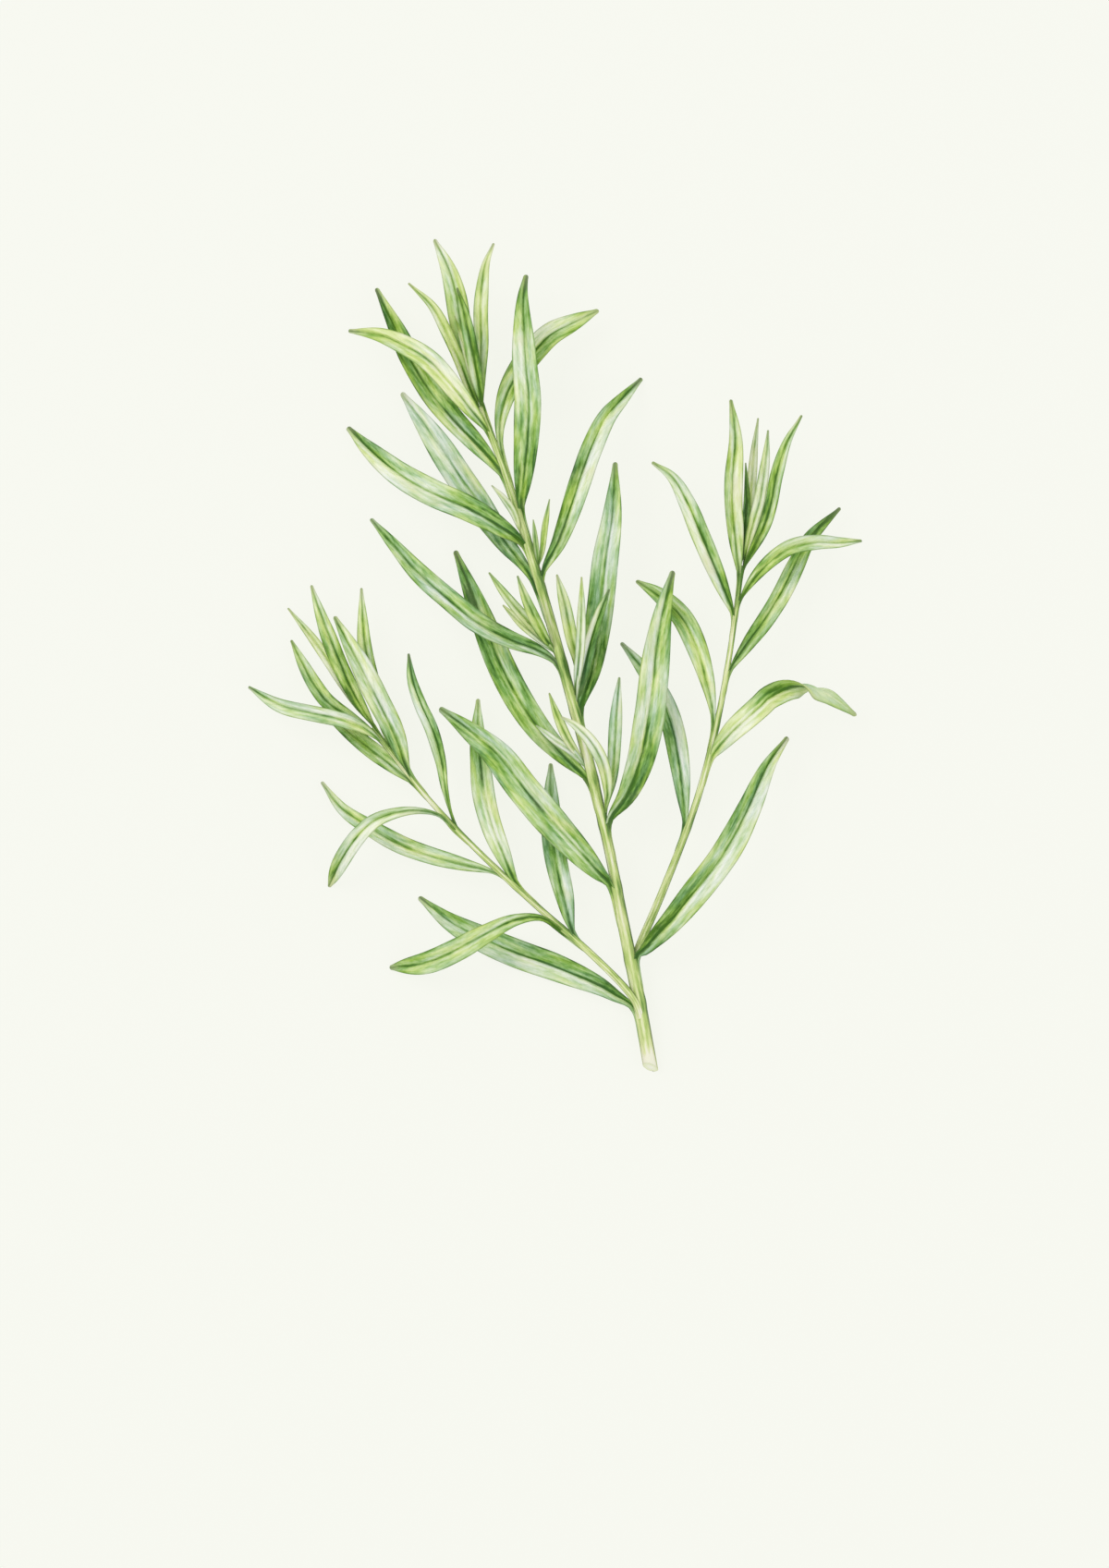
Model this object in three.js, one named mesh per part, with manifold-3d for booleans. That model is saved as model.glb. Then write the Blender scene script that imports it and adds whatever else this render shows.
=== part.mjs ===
// A cut sprig of French tarragon, lying on its side as it was picked: one main shoot and the two
// side shoots that grow from its lower half. Each shoot is a round tapering stem with its narrow
// leaves, and small tufts of young leaves in the axils of the main one.
//
// Frame, in millimetres: the sprig points along +Y, its flat spread lies along X, and it rests on
// the plane z = 0. The origin is in the middle of the ground that it covers.
import * as THREE from "three";
import { mergeVertices } from "three/addons/utils/BufferGeometryUtils.js";
import Module from "manifold-3d";

const wasm = await Module();
wasm.setup();

// ---- driving dimensions, mm and degrees ----
const DEGREE = Math.PI / 180;
const BLADE = 0.6;            // thickness of a leaf's blade
const RIB = 0.3;              // how far the midrib stands out under the blade
const FOLD = 15 * DEGREE;     // each half of a leaf rises this much from its midrib
const ROLL = 14 * DEGREE;     // a leaf is turned about its midrib by up to this much
const SPIRAL = 137.5 * DEGREE; // from one leaf to the next round the stem
const PRESSED = 3;            // below this height the ground presses a leaf flat and level
const LEAF_BASE = 0.12;       // half the width at a leaf's base, as a share of the greatest
const LEAF_TIP = 0.3;         // half the width left at its blunt tip
const WIDEST = 0.93;          // below 1, this moves the widest place out along the leaf
const FULLNESS = 2.4;         // the higher, the longer a leaf keeps its full width
const LEAF_SPAN = 6.5;        // a leaf is cut into lengths of about this
const LEAF_SPANS_MIN = 4;
const STEM_SIDES = 8;
const ROOT_STEPS = 400;       // how finely a leaf's place on its stem is looked for
const STEM_SPAN = 7;          // a stem is cut into lengths of about this
const CUT_SLANT = 25 * DEGREE; // the knife's cut through the foot of the main stem
const SEAT = 0.32;            // clearance where a side shoot sits on the main stem

// Stems, foot to tip: [x, y, height of the axis, radius].
const MAIN_STEM = [
  [25.4, -108.2, 1.78, 1.85], [21.8, -88.1, 4, 1.72], [18.7, -68.9, 7, 1.62],
  [14.6, -49.7, 10, 1.5], [8.9, -26.9, 12.7, 1.45], [3.1, -5.3, 14, 1.4],
  [-2.9, 16.3, 14.8, 1.3], [-9.4, 37.9, 15, 1.1], [-14.2, 52.3, 14.4, 0.85],
  [-19.2, 65.5, 13.5, 0.6],
];
const LEFT_STEM = [
  [20.4, -90, 5.8, 0.96], [9.4, -76.6, 6.3, 0.9], [-3.8, -65, 6.8, 0.84],
  [-17, -52.8, 7.7, 0.78], [-29, -40.6, 8.1, 0.72], [-37.7, -30.5, 8.5, 0.66],
  [-47.3, -17.8, 9, 0.58],
];
const RIGHT_STEM = [
  [21.6, -76.1, 4.1, 1.1], [28.6, -59.3, 7, 1], [35.5, -40.1, 10, 0.92],
  [40.8, -22.8, 12.3, 0.84], [44.2, -6.5, 13.1, 0.76], [47, 11.5, 13.3, 0.68],
  [48.7, 24.2, 13, 0.58],
];

// Leaves: [greatest width, heights of the midrib at its middle and its tip, and then the places
// that the midrib passes seen from above, the first of them where it leaves the stem].
const MAIN_LEAVES = [
  [7.7, [1.2, 0.3], [20.2, -90.5], [10.1, -84], [0, -79.9], [-9.6, -76.8], [-19.2, -72.7],
    [-27.6, -68.2], [-35.5, -61.9]],
  [7.9, [15, 8], [22.1, -78.5], [25.9, -72.2], [34.3, -61.7], [43.7, -51.4], [49.9, -40.8],
    [55.2, -29.5], [60.7, -20.4]],
  [9.1, [15, 9], [16.3, -59.8], [11, -54], [1.4, -43.4], [-7, -34.6], [-14.6, -25],
    [-22.8, -18], [-29.8, -12.7]],
  [8.2, [17.5, 17], [14.6, -43.2], [18.5, -35.3], [22.1, -25.7], [24, -16.1], [25.2, -6.5],
    [26.2, 3.1], [28.1, 13.9], [30.7, 22.8]],
  [8.2, [9, 3], [8.9, -32.4], [2.4, -25.2], [-3.6, -18.5], [-8.9, -10.6], [-13.2, -2.2],
    [-17, 6.7], [-21.4, 16.3], [-25.9, 28.3]],
  [7.2, [15, 12], [7, -14.2], [9.1, -3.6], [10.8, 5.5], [12, 16.3], [13.2, 27.1],
    [14.6, 37.9], [15.6, 51.1]],
  [6.5, [17, 8], [2.4, -1.7], [-3.8, 1.9], [-12, 5.5], [-20.4, 9.8], [-28.8, 16.3],
    [-36, 22.6], [-42, 29.5], [-47.8, 36.5]],
  [7, [10, 5], [-3.6, 18.2], [-7.9, 24.2], [-12.7, 30.2], [-18.5, 38.2], [-24, 46.1],
    [-29.3, 54.2], [-34.6, 61.9], [-39.8, 69.4]],
  [7.7, [17, 0.5], [-7.4, 29], [-14.4, 34.3], [-22.8, 38.6], [-31.2, 42.7], [-39.6, 47.8],
    [-47.5, 53.8], [-54, 60.5]],
  [6.5, [17, 0.5], [-2.9, 21.4], [0.2, 30], [3.4, 38.6], [6, 46.6], [8.9, 54.5],
    [12.7, 62.4], [17.5, 67.9], [22.6, 73.2]],
  [6.7, [20, 16], [-8.9, 37.7], [-8.2, 46.3], [-7.2, 58.3], [-7, 67.9], [-7.7, 77.5],
    [-8.2, 88.3], [-8.2, 94.8], [-7.2, 99.6]],
  [6.5, [11, 5], [-13, 46.8], [-16.6, 50.4], [-22.1, 55.9], [-28.1, 62.2], [-33.8, 69.6],
    [-38.9, 78.2], [-42.7, 87.1], [-46.3, 96.5]],
  [6.5, [11.5, 8], [-14.2, 51.6], [-14.4, 58.3], [-13.9, 64.1], [-12.2, 70.3],
    [-9.1, 76.3], [-5.5, 80.9], [-1, 84.7], [4.8, 87.4], [11.5, 90.7]],
  [6, [18, 12], [-17, 58.8], [-22.1, 64.6], [-27.1, 70.8], [-32.4, 76.6], [-38.4, 80.6],
    [-45.6, 83.8], [-53.5, 85.2]],
];
// the young leaves that close the tip of the main stem
const TIP_LEAVES = [
  [3.6, [16, 17], [-19.4, 65], [-22.1, 70.3], [-25.4, 77.5], [-28.8, 84.7],
    [-32.6, 91.2], [-38.2, 97.4]],
  [5.3, [14, 12], [-19.4, 65.5], [-22.3, 76.3], [-24.2, 85.9], [-25.7, 94.3],
    [-27.8, 101.5], [-31.4, 109]],
  [4.1, [18, 20], [-19, 65.5], [-19.4, 73.9], [-19.7, 82.3], [-19.7, 91.9],
    [-18.5, 101.5], [-15.6, 107.8]],
  [4.1, [20, 24], [-19.2, 65.5], [-20.2, 75.1], [-21.4, 82.3], [-22.8, 89.5],
    [-25.2, 96.2]],
  [2.2, [17.5, 20], [-19.4, 65.5], [-21.6, 73.9], [-23.8, 82.3], [-25.9, 88.8]],
];
// the tufts in the axils of the main stem's leaves, from the top one down
const AXIL_LEAVES = [
  [2.2, [18.5, 20], [-8.6, 33.1], [-10.6, 37.7], [-13.2, 41.5], [-16.3, 44.9]],
  [2.4, [19, 21], [-3.8, 23.8], [-3.1, 28.3], [-2.2, 34.3], [-1.2, 41.3]],
  [1.7, [18, 20], [-4.1, 24.2], [-4.8, 29.5], [-5.5, 36]],
  [2.9, [19.5, 21], [0, 1.7], [-2.4, 5], [-7, 9.8], [-12.2, 15.8], [-17, 22.3]],
  [3.1, [22, 24], [-0.2, 2.2], [-1.9, 4.6], [-4.6, 9.4], [-7, 14.6], [-9.6, 21.4]],
  [2.6, [18.5, 19], [0, 1.7], [-4.6, 5.8], [-8.9, 9.4], [-13.4, 13.9]],
  [3.8, [18.5, 20], [6.7, -10.6], [6, -1.7], [4.3, 5.5], [2.6, 13.9], [0.5, 21.8]],
  [2.6, [22.5, 25], [6.7, -8.9], [6.7, 3.1], [7, 12.7], [7, 21.1]],
  [3.6, [19.5, 21], [7, -10.6], [8.6, 1.9], [11.3, 10.8], [14.2, 18]],
  [2.6, [17, 19], [7.4, -27.1], [3.8, -21.4], [1, -15.4], [-1.4, -8.9]],
  [2.2, [15.5, 15], [7.9, -27.8], [4.3, -24], [0, -21.1], [-4.8, -17.3]],
  [3.8, [20, 21], [13.7, -40.1], [13.4, -34.1], [12, -26.9], [9.1, -21.4],
    [5.5, -17.5], [1.7, -15.1]],
  [3.6, [17, 18], [14.4, -40.1], [14.9, -31.7], [15.6, -23.3], [16.1, -13.7],
    [16.8, -4.8]],
];
const LEFT_LEAVES = [
  [5.5, [13, 0.3], [2.9, -69.8], [-3.6, -67.2], [-10.8, -67.9], [-18, -71.5],
    [-25.2, -75.6], [-33.6, -79.2], [-43, -80.4]],
  [6, [7.5, 2.5], [5, -71.3], [2.2, -61.2], [0.5, -53.3], [-0.7, -44.9], [-1, -35.3],
    [-1, -27.1]],
  [6.5, [8, 4], [-9.6, -59], [-13.2, -50.9], [-16.1, -43.7], [-18.2, -35.3],
    [-19.2, -26.9], [-19.9, -18.5], [-19.9, -10.3]],
  [5.3, [6, 2], [-14.4, -55], [-24, -53], [-32.4, -51.1], [-40.8, -48], [-48.5, -43.7],
    [-55, -38.9], [-60.7, -31.7]],
  [3.8, [17, 0.3], [-25.2, -43.2], [-30, -40.6], [-37.2, -39.4], [-44.9, -41],
    [-50.4, -45.6], [-55, -51.8], [-58.8, -59.3]],
  [3.6, [12, 13], [-25.9, -42.7], [-28.3, -34.1], [-29.3, -26.2], [-31.4, -18.5],
    [-34.8, -11.8], [-37.2, -5.3], [-37.9, 1.4]],
  [5, [6, 0.3], [-36.7, -31.9], [-43, -27.8], [-49, -23.8], [-54.5, -19], [-60, -14.4]],
  [4.6, [12, 4], [-45.1, -20.9], [-49.9, -17.8], [-55.7, -15.6], [-63.6, -13.9],
    [-72, -11.8], [-79.7, -7.2]],
  [4.1, [7.5, 3], [-46.8, -19.2], [-52.6, -15.6], [-58.6, -11.5], [-62.2, -7],
    [-65.5, -1.2], [-68.6, 5]],
  [3.4, [9, 6], [-47.8, -17], [-51.4, -12], [-55.7, -6], [-59.8, 0.2], [-64.3, 6.7],
    [-69.4, 13.4]],
  [4.3, [11, 9.5], [-47.3, -17.3], [-51.4, -10.1], [-54.7, -2.9], [-57.6, 4.3],
    [-60.5, 11.5], [-63.1, 19.2]],
  [5.8, [15, 15.5], [-37.9, -30], [-41.3, -19.9], [-45.4, -11.3], [-49.4, -3.1],
    [-53.3, 4.1], [-57.1, 11]],
  [3.6, [10, 8], [-42, -23.3], [-45.4, -12.5], [-48, -2.9], [-49.4, 4.3], [-49.9, 11.5],
    [-49.7, 18.5]],
];
const RIGHT_LEAVES = [
  [5.8, [9, 6], [33.6, -43.7], [33.4, -35.3], [32.4, -26.4], [30.5, -16.8], [26.9, -8.2],
    [22.6, -1.2], [17.3, 4.3]],
  [5.8, [13, 10], [41.5, -17.8], [40.6, -10.6], [38.9, -3.4], [36.7, 4.1], [33.4, 11.5],
    [28.1, 17], [21.6, 20.4]],
  [4.6, [18, 0.3], [40.8, -25.7], [45.6, -20.4], [50.9, -15.1], [56.4, -10.8],
    [61.9, -7.7], [67.7, -7.4], [73, -10.6], [78.2, -14.6]],
  [6, [11, 5], [45.1, -3.6], [49.4, 3.4], [54.2, 10.1], [58.8, 16.8], [62.4, 24.5],
    [66.5, 31.9], [74.4, 39.4]],
  [5, [15, 11], [46.8, 11], [43.4, 18.2], [40.3, 25.2], [37.2, 32.6], [34.1, 40.3],
    [30.5, 47], [25.4, 51.1]],
  [4.3, [17, 10], [48, 15.1], [51.8, 20.9], [56.4, 25.7], [61.7, 29], [68.2, 30.2],
    [73.9, 30.2], [79.9, 30.7]],
  [5, [20, 23], [48.2, 21.8], [47, 30.7], [46.3, 39.1], [46.3, 47.5], [46.8, 57.1],
    [45.6, 67]],
  [4.3, [19, 18.5], [49.7, 23.5], [54.2, 32.9], [56.2, 40.1], [57.6, 47.8], [60, 55.7],
    [64.1, 63.1]],
  [2.4, [14.6, 14.5], [49, 22.8], [49.7, 33.1], [50.2, 42.7], [49.7, 50.9]],
  [2.9, [12.6, 11.5], [49.2, 24.2], [50.2, 34.3], [51.1, 46.3], [51.8, 54.7], [52.8, 62.6]],
  [3.1, [16.8, 16.5], [49.4, 24.2], [51.1, 33.1], [53.3, 41.5], [54.7, 51.1], [55.4, 59.3]],
];

// ---- sweeps ----

// A closed body swept through rings of equal size, foot to tip. Each ring goes round clockwise
// as seen from the foot. A side of the rings is split into triangles along one diagonal, or
// along the other one where its number is in `flipped`.
function sweep(rings, flipped = []) {
  const n = rings[0].length;
  const at = (ring, i) => ring * n + (i % n);
  const index = [];
  for (let r = 0; r + 1 < rings.length; r++) {
    for (let i = 0; i < n; i++) {
      const [a, b, c, d] = [at(r, i), at(r, i + 1), at(r + 1, i + 1), at(r + 1, i)];
      index.push(...(flipped.includes(i) ? [a, b, d, b, c, d] : [a, b, c, a, c, d]));
    }
  }
  const last = rings.length - 1;
  for (let i = 1; i + 1 < n; i++) {
    index.push(at(0, 0), at(0, i + 1), at(0, i));
    index.push(at(last, 0), at(last, i), at(last, i + 1));
  }
  const geometry = new THREE.BufferGeometry().setFromPoints(rings.flat());
  geometry.setIndex(index);
  return geometry;
}

const through = (points) =>
  new THREE.CatmullRomCurve3(points.map((p) => new THREE.Vector3(...p)), false, "catmullrom");

// The directions at a place on a curve: along it, sideways and level, and upwards.
function frameAt(curve, t) {
  const along = curve.getTangentAt(t);
  const side = new THREE.Vector3().crossVectors(along, new THREE.Vector3(0, 0, 1)).normalize();
  return { at: curve.getPointAt(t), along, side, up: side.clone().cross(along) };
}

// A round stem whose radius runs evenly from one of its points to the next. `extra` makes it
// fatter all round, and `slant` cuts its foot at an angle.
function stem(rows, extra = 0, slant = 0) {
  const axis = through(rows.map(([x, y, z]) => [x, y, z]));
  const radii = through(rows.map(([, , , r], i) => [i, r, 0]));
  const spans = Math.round(axis.getLength() / STEM_SPAN);
  const rings = [];
  for (let k = 0; k <= spans; k++) {
    const { at, along, side, up } = frameAt(axis, k / spans);
    const radius = radii.getPoint(axis.getUtoTmapping(k / spans)).y + extra;
    const ring = [];
    for (let i = 0; i < STEM_SIDES; i++) {
      const turn = (2 * Math.PI * (i + 0.5)) / STEM_SIDES;
      const out = side.clone().multiplyScalar(Math.sin(turn)).addScaledVector(up, Math.cos(turn));
      const point = at.clone().addScaledVector(out, radius);
      if (k === 0) point.addScaledVector(along, -radius * Math.sin(turn) * Math.tan(slant));
      ring.push(point);
    }
    rings.push(ring);
  }
  return sweep(rings);
}

// Half the width of a leaf at the share t of its length: 1 - |2 t^WIDEST - 1|^FULLNESS of the
// greatest, but never so little that the leaf would lose its base or its tip.
function halfWidth(width, t) {
  const share = 1 - Math.abs(2 * t ** WIDEST - 1) ** FULLNESS;
  const least = t < 0.5 ? LEAF_BASE * width : LEAF_TIP;
  return Math.max((share * width) / 2, least);
}

// The place on a stem's axis that is nearest to a point, seen from above.
function rootOn(rows, [x, y]) {
  const places = through(rows.map(([px, py, pz]) => [px, py, pz])).getPoints(ROOT_STEPS);
  const away = (p) => Math.hypot(p.x - x, p.y - y);
  return places.reduce((best, p) => (away(p) < away(best) ? p : best));
}

// A leaf: a blade of even thickness, folded along its midrib like a shallow trough, with the
// rib standing out below. It starts on its stem's axis, arches through its middle and tip
// heights, is turned about its midrib by its place in the spiral of leaves, and lies flat where
// it meets the ground.
function leaf([width, [middle, end], first, ...path], number, stemRows) {
  const root = rootOn(stemRows, first);
  const flat = through([[root.x, root.y], ...path].map(([x, y]) => [x, y, 0]));
  const height = (t) =>
    root.z * (1 - t) * (1 - 2 * t) + 4 * middle * t * (1 - t) + end * t * (2 * t - 1);
  const steps = 4 * path.length;
  const midrib = through(
    Array.from({ length: steps + 1 }, (_, i) => {
      const { x, y } = flat.getPointAt(i / steps);
      return [x, y, height(i / steps)];
    }),
  );
  const roll = ROLL * Math.sin(number * SPIRAL);
  const spans = Math.max(LEAF_SPANS_MIN, Math.round(midrib.getLength() / LEAF_SPAN));
  const rings = [];
  for (let k = 0; k <= spans; k++) {
    const { at, along, side, up } = frameAt(midrib, k / spans);
    const free = Math.min(1, at.z / PRESSED);
    side.applyAxisAngle(along, free * roll);
    up.applyAxisAngle(along, free * roll);
    const half = halfWidth(width, k / spans);
    const point = (sideways, upwards, least) => {
      const p = at.clone().addScaledVector(side, sideways).addScaledVector(up, upwards);
      p.z = Math.max(p.z, least);
      return p;
    };
    const [out, rise] = [half * Math.cos(free * FOLD), half * Math.sin(free * FOLD)];
    rings.push([
      point(0, 0, BLADE), point(out, rise, BLADE), point(out, rise - BLADE, 0),
      point(0, -BLADE - RIB, 0), point(-out, rise - BLADE, 0), point(-out, rise, BLADE),
    ]);
  }
  return sweep(rings, [2, 5]);
}

// ---- joining ----

function solid(geometry) {
  const merged = mergeVertices(geometry);
  return new wasm.Manifold(
    new wasm.Mesh({
      numProp: 3,
      vertProperties: new Float32Array(merged.attributes.position.array),
      triVerts: new Uint32Array(merged.index.array),
    }),
  );
}

function node(name, body, colour) {
  const { vertProperties, triVerts } = body.getMesh();
  const geometry = new THREE.BufferGeometry();
  geometry.setAttribute("position", new THREE.BufferAttribute(vertProperties, 3));
  geometry.setIndex(new THREE.BufferAttribute(triVerts, 1));
  geometry.computeVertexNormals();
  const material = new THREE.MeshStandardMaterial({ color: colour, roughness: 0.6 });
  const mesh = new THREE.Mesh(geometry, material);
  mesh.name = name;
  return mesh;
}

// One body of a stalk and the leaves that grow from it.
function shoot(stalk, rows, leaves) {
  const blades = leaves.map((row, number) => solid(leaf(row, number, rows)));
  return wasm.Manifold.union([stalk, ...blades]);
}

// ---- the sprig ----

const mainStem = solid(stem(MAIN_STEM, 0, CUT_SLANT));
const clearOfMain = solid(stem(MAIN_STEM, SEAT));
const sideStem = (rows) => solid(stem(rows)).subtract(clearOfMain);

const mainLeaves = [...MAIN_LEAVES, ...TIP_LEAVES, ...AXIL_LEAVES];

const sprig = new THREE.Group();
sprig.name = "tarragon_sprig";
sprig.add(
  node("main_shoot", shoot(mainStem, MAIN_STEM, mainLeaves), 0x7fa650),
  node("left_side_shoot", shoot(sideStem(LEFT_STEM), LEFT_STEM, LEFT_LEAVES), 0x8fb15e),
  node("right_side_shoot", shoot(sideStem(RIGHT_STEM), RIGHT_STEM, RIGHT_LEAVES), 0x93b45c),
);

export default sprig;
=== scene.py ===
import bpy
import numpy as np
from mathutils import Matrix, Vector


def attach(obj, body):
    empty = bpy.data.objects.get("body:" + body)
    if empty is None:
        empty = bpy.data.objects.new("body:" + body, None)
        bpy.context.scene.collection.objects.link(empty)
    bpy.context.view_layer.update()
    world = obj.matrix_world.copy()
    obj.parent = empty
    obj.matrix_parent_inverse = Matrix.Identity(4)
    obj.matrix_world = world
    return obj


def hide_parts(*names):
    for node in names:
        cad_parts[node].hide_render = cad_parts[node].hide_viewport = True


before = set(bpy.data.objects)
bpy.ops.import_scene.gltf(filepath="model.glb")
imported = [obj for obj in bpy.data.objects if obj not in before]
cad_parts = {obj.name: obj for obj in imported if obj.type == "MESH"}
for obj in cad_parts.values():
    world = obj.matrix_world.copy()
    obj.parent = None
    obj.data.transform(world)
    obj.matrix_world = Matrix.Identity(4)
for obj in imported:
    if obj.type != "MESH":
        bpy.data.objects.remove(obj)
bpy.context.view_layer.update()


# ---- camera ----
# The sprig is looked at from straight above through a long lens, its foot nearest the viewer.
# The upright frame takes in the whole of it, with room all round.
MM = 0.001                    # m
VIEW_HEIGHT = 3.0             # m, from the lens to the middle of the leaves
VIEW_TALL = 407.3             # mm at that depth, which the longer side of the frame takes in
VIEW_CENTRE = (0, -32.5, 12)  # mm
VIEW_END = 50                 # m, as far as the lens sees
FILM = 36                     # mm, the longer side of the frame inside the camera

lens = bpy.data.cameras.new("camera")
lens.sensor_width = FILM
lens.lens = FILM * VIEW_HEIGHT / (VIEW_TALL * MM)
lens.clip_end = VIEW_END
camera = bpy.data.objects.new("camera", lens)
camera.location = Vector(VIEW_CENTRE) * MM + Vector((0, 0, VIEW_HEIGHT))
bpy.context.collection.objects.link(camera)
bpy.context.scene.camera = camera


# ---- table and light ----
# A pale matt table under two soft lamps, in a white room that fills in the shadows. The table
# glows, as a light table does, so that the shadows under the leaves stay faint.
TABLE_WHITE = (0.09, 0.0909, 0.0845)
TABLE_GLOW = 9.22             # times its colour, the light that it gives
TABLE_ROUGHNESS = 0.9
TABLE_SHINE = 0.1
TABLE_REACH = 6               # m, from its middle to each side
ROOM = (1.0, 1.0, 1.0)
ROOM_STRENGTH = 0.87
LAMPS = [                     # name, place in m, breadth in m and power in watts
    ("soft_lamp", (-0.9, 0.7, 1.5), 1.1, 9.0),
    ("fill_lamp", (1.1, -0.8, 1.3), 1.0, 3.0),
]

table_finish = bpy.data.materials.new("table_finish")
table_finish.use_nodes = True
shader = table_finish.node_tree.nodes["Principled BSDF"]
shader.inputs["Base Color"].default_value = (*TABLE_WHITE, 1)
shader.inputs["Roughness"].default_value = TABLE_ROUGHNESS
shader.inputs["Specular IOR Level"].default_value = TABLE_SHINE
shader.inputs["Emission Color"].default_value = (*TABLE_WHITE, 1)
shader.inputs["Emission Strength"].default_value = TABLE_GLOW
corners = [(x * TABLE_REACH, y * TABLE_REACH, 0) for x, y in ((-1, -1), (1, -1), (1, 1), (-1, 1))]
plate = bpy.data.meshes.new("table")
plate.from_pydata(corners, [], [(0, 1, 2, 3)])
plate.materials.append(table_finish)
table = bpy.data.objects.new("table", plate)
bpy.context.collection.objects.link(table)

room = bpy.data.worlds.new("room")
room.use_nodes = True
room.node_tree.nodes["Background"].inputs["Color"].default_value = (*ROOM, 1)
room.node_tree.nodes["Background"].inputs["Strength"].default_value = ROOM_STRENGTH
bpy.context.scene.world = room

for name, place, breadth, power in LAMPS:
    glow = bpy.data.lights.new(name, "AREA")
    glow.shape = "DISK"
    glow.size = breadth
    glow.energy = power
    lamp = bpy.data.objects.new(name, glow)
    lamp.location = place
    lamp.rotation_euler = (-Vector(place)).to_track_quat("-Z", "Y").to_euler()
    lamp.visible_camera = False
    bpy.context.collection.objects.link(lamp)

bpy.context.scene.view_settings.view_transform = "Standard"


# ---- main stem ----
# The stalk of the main shoot: a round green stem with fine pale ridges, thickened a little where
# each leaf leaves it, cut slantwise by the knife at its foot.

# Rows, in mm from the foot to the tip: x, y and height of the axis, and the radius.
MAIN_STEM = [
    (25, -106.3, 1.78, 1.85), (21.8, -88.1, 4, 1.72), (17.9, -68.9, 7, 1.55),
    (14.2, -49.7, 10, 1.32), (8.9, -26.9, 12.7, 1.45), (3.1, -5.3, 14, 1.4),
    (-2.9, 16.3, 14.8, 1.3), (-9.4, 37.9, 15, 1.1), (-14.2, 52.3, 14.4, 0.85),
    (-19.2, 65.5, 13.5, 0.6),
]
# Where each leaf leaves it: x and y, in mm.
MAIN_NODES = [
    (20.2, -90.5), (22.1, -78.5), (16.3, -59.8), (14.6, -43.2), (8.9, -32.4), (7, -14.2),
    (2.4, -1.7), (-3.6, 18.2), (-7.4, 29), (-2.9, 21.4), (-8.9, 37.7), (-13, 46.8),
    (-14.2, 51.6), (-17, 58.8),
]
CUT_SLANT = np.radians([25, -35])  # of the knife's cut across the foot, sideways and upwards
CUT_LENGTH = 5.0              # mm of the stem in which its skin eases from the slant to square
CUT_RINGS = (0.15, 0.45, 0.72, 0.9, 0.985)  # that close the foot, as shares of its radius
CUT_MARK = 0.001              # holds what is stored on the cut below 0, where the skin starts
STEM_STEP = 0.7               # mm between the rings of a stem
STEM_AROUND = 40              # points round each ring
RIDGES = 7                    # fine ridges round a stem
RIDGE = 0.035                 # their height, as a share of the radius
SWAY = 0.5                    # how far they wander round it, in radians of their cosine
SWAY_LENGTH = 23              # mm along the stem for each radian of the wandering's sine
SWELLING = 0.08               # how much a leaf's joint thickens the stem
SWELLING_LENGTH = 1.6         # mm
SWELLING_LEAD = 0.4           # mm, from the joint to where it is thickest
STEM_CLEAR = 0.02             # mm above the table, at least
SPAN_STEPS = 24               # points on each span of a smooth line


def through(points):
    """A smooth line through the points. Each span is the uniform Catmull-Rom cubic: its slope at
    a point is half the difference of the two neighbours, and an end's missing neighbour is the
    reflection of the other one."""
    p = np.asarray(points, float)
    p = np.vstack([2 * p[0] - p[1], p, 2 * p[-1] - p[-2]])
    a, b, c, d = (p[i:len(p) - 3 + i, None] for i in range(4))
    t = np.linspace(0, 1, SPAN_STEPS, endpoint=False)[None, :, None]
    line = b + t / 2 * (c - a + t * (2 * a - 5 * b + 4 * c - d + t * (3 * b - a - 3 * c + d)))
    return np.vstack([line.reshape(-1, p.shape[1]), p[-2]])


def distances(line):
    """How far each point of a line lies along it from the first one."""
    return np.append(0, np.cumsum(np.linalg.norm(np.diff(line, axis=0), axis=1)))


def sampled(line, run, at):
    """The places, and what else the columns hold, at these distances along a line."""
    return np.stack([np.interp(at, run, column) for column in line.T], 1)


def directions(line, run):
    """Unit vectors at each point of a line: along it, level and sideways to its right, and
    upwards, square to both."""
    along = np.gradient(line, run, axis=0)
    along /= np.linalg.norm(along, axis=1)[:, None]
    side = np.cross(along, (0, 0, 1))
    side /= np.linalg.norm(side, axis=1)[:, None]
    return along, side, np.cross(side, along)


def skin(rings):
    """A closed surface over rings of equal size, given as an array of ring, point and x, y, z.
    Each ring goes round clockwise as seen from the first one, and a pole in the middle of the
    first and last ring closes the ends. Gives the points, the four-sided faces between the rings
    and the triangles round the poles."""
    count, around = rings.shape[:2]
    index = np.arange(count * around).reshape(count, around)
    right = np.roll(index, -1, 1)
    quads = np.stack([index[:-1], right[:-1], right[1:], index[1:]], -1).reshape(-1, 4)
    foot, tip = count * around, count * around + 1
    caps = np.vstack([
        np.stack([np.full(around, foot), right[0], index[0]], 1),
        np.stack([np.full(around, tip), index[-1], right[-1]], 1),
    ])
    points = np.vstack([rings.reshape(-1, 3), rings[0].mean(0), rings[-1].mean(0)])
    return points, quads, caps


def with_poles(values):
    """Values of each point of the rings, followed by those of the two poles, which take the mean
    of their ring."""
    flat = values.reshape(-1, *values.shape[2:])
    return np.concatenate([flat, values[0].mean(0)[None], values[-1].mean(0)[None]])


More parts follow.
